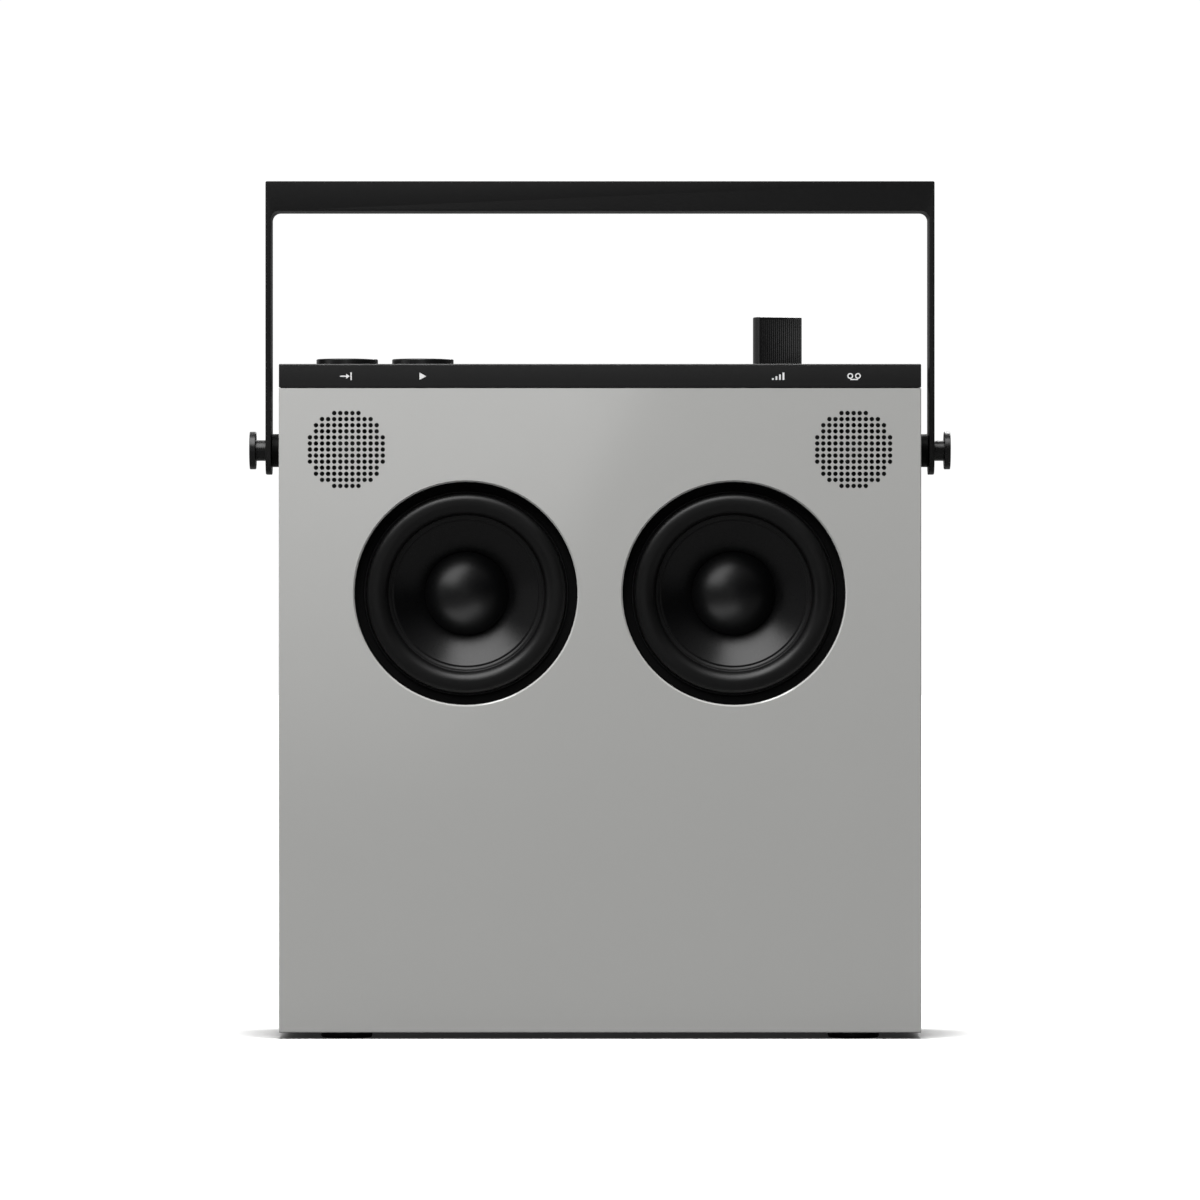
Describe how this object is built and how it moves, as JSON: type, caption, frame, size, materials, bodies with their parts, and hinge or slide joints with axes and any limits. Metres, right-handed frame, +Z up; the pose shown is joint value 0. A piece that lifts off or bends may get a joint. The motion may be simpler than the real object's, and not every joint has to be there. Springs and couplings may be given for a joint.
{
  "type": "portable loudspeaker",
  "caption": "Slim upright box loudspeaker with round cone drivers on the front, push buttons, a knob and a flush dial on top, and a U-shaped carry handle that swings on side thumb screws.",
  "frame": {"origin": "middle of the footprint, on the floor under the feet", "axes": "+Z up, front face with the drivers towards -Y, +X to the right as seen from the front"},
  "size_m": [0.231, 0.057, 0.2809],
  "materials": {
    "shell_grey": "smooth gloss paint",
    "black_plastic": "satin",
    "black_metal": "satin black",
    "black_rubber": "matt",
    "cone_black": "woven and coated",
    "brass": "turned",
    "steel": "zinc plated",
    "ferrite": "sintered",
    "aluminium_black": "anodised black",
    "board_green": "circuit board",
    "pack_wrap": "shrink film",
    "silicone": "soft",
    "dome_silk": "coated silk",
    "spider_cloth": "phenolic cloth",
    "coil_copper": "enamelled wire",
    "gear_white": "acetal"
  },
  "bodies": {
    "cabinet": {"battery_bracket": "black_plastic", "battery_pack": "pack_wrap", "board_screws": "steel", "button_switches": "black_plastic", "cabinet_shell": "shell_grey", "connector_plate": "black_plastic", "control_board": "board_green", "cover_screws": "black_metal", "driver_screws": "steel", "foot_front_left": "black_rubber", "foot_front_right": "black_rubber", "foot_rear_left": "black_rubber", "foot_rear_right": "black_rubber", "line_socket": "black_plastic", "main_board": "board_green", "panel_screws": "steel", "pivot_inserts": "brass", "rear_cover": "shell_grey", "return_pad_input": "silicone", "return_pad_play": "silicone", "socket_board": "board_green", "spacers": "black_metal", "tape_stator": "coil_copper", "top_panel": "black_plastic", "tweeter_dome_left": "dome_silk", "tweeter_dome_right": "dome_silk", "tweeter_housing_left": "black_plastic", "tweeter_housing_right": "black_plastic", "usb_socket": "steel", "volume_motor": "steel", "volume_potentiometer": "steel", "woofer_basket_left": "black_metal", "woofer_basket_right": "black_metal", "woofer_gasket_left": "black_rubber", "woofer_gasket_right": "black_rubber", "woofer_magnet_left": "ferrite", "woofer_magnet_right": "ferrite", "woofer_spider_left": "spider_cloth", "woofer_spider_right": "spider_cloth", "woofer_surround_left": "black_rubber", "woofer_surround_right": "black_rubber", "woofer_yoke_left": "steel", "woofer_yoke_right": "steel"},
    "handle": {"handle": "aluminium_black"},
    "thumb_screw_left": {"thumb_screw_left": "black_metal"},
    "thumb_screw_right": {"thumb_screw_right": "black_metal"},
    "input_button": {"input_button": "black_plastic"},
    "play_button": {"play_button": "black_plastic"},
    "volume_knob": {"volume_knob": "aluminium_black", "volume_shaft": "steel", "volume_gear": "gear_white"},
    "motor_pinion": {"motor_pinion": "brass"},
    "tape_disc": {"tape_disc": "aluminium_black", "tape_rotor": "steel"},
    "woofer_cone_left": {"woofer_cone_left": "cone_black", "woofer_dust_cap_left": "cone_black", "woofer_voice_coil_left": "coil_copper"},
    "woofer_cone_right": {"woofer_cone_right": "cone_black", "woofer_dust_cap_right": "cone_black", "woofer_voice_coil_right": "coil_copper"}
  },
  "joints": [
    {"name": "handle_swing", "type": "hinge", "parent": "cabinet", "child": "handle", "pos_m": [0, 0, 0.1925], "axis": [1, 0, 0], "range_deg": [-150, 150]},
    {"name": "thumb_screw_left_turn", "type": "hinge", "parent": "cabinet", "child": "thumb_screw_left", "pos_m": [-0.112, 0, 0.1925], "axis": [-1, 0, 0], "continuous": true},
    {"name": "thumb_screw_right_turn", "type": "hinge", "parent": "cabinet", "child": "thumb_screw_right", "pos_m": [0.112, 0, 0.1925], "axis": [1, 0, 0], "continuous": true},
    {"name": "input_press", "type": "slide", "parent": "cabinet", "child": "input_button", "axis": [0, 0, -1], "range_m": [0, 0.0012], "stiffness_N_per_m": 600, "springref_m": -0.0005, "deforming": ["return_pad_input"]},
    {"name": "play_press", "type": "slide", "parent": "cabinet", "child": "play_button", "axis": [0, 0, -1], "range_m": [0, 0.0012], "stiffness_N_per_m": 600, "springref_m": -0.0005, "deforming": ["return_pad_play"]},
    {"name": "volume_turn", "type": "hinge", "parent": "cabinet", "child": "volume_knob", "pos_m": [0.0585, 0, 0.2286], "axis": [0, 0, 1], "range_deg": [-150, 150]},
    {"name": "motor_pinion_turn", "type": "hinge", "parent": "cabinet", "child": "motor_pinion", "pos_m": [0.046, 0, 0.2144], "axis": [0, 0, 1], "range_deg": [-600, 600]},
    {"name": "tape_turn", "type": "hinge", "parent": "cabinet", "child": "tape_disc", "pos_m": [0.0834, 0, 0.2194], "axis": [0, 0, 1], "continuous": true},
    {"name": "woofer_left_travel", "type": "slide", "parent": "cabinet", "child": "woofer_cone_left", "axis": [0, -1, 0], "range_m": [-0.0025, 0.0025], "stiffness_N_per_m": 1500, "deforming": ["woofer_surround_left", "woofer_spider_left"]},
    {"name": "woofer_right_travel", "type": "slide", "parent": "cabinet", "child": "woofer_cone_right", "axis": [0, -1, 0], "range_m": [-0.0025, 0.0025], "stiffness_N_per_m": 1500, "deforming": ["woofer_surround_right", "woofer_spider_right"]}
  ],
  "couplings": [
    {"joint": "motor_pinion_turn", "follows": "volume_turn", "ratio": -4}
  ]
}
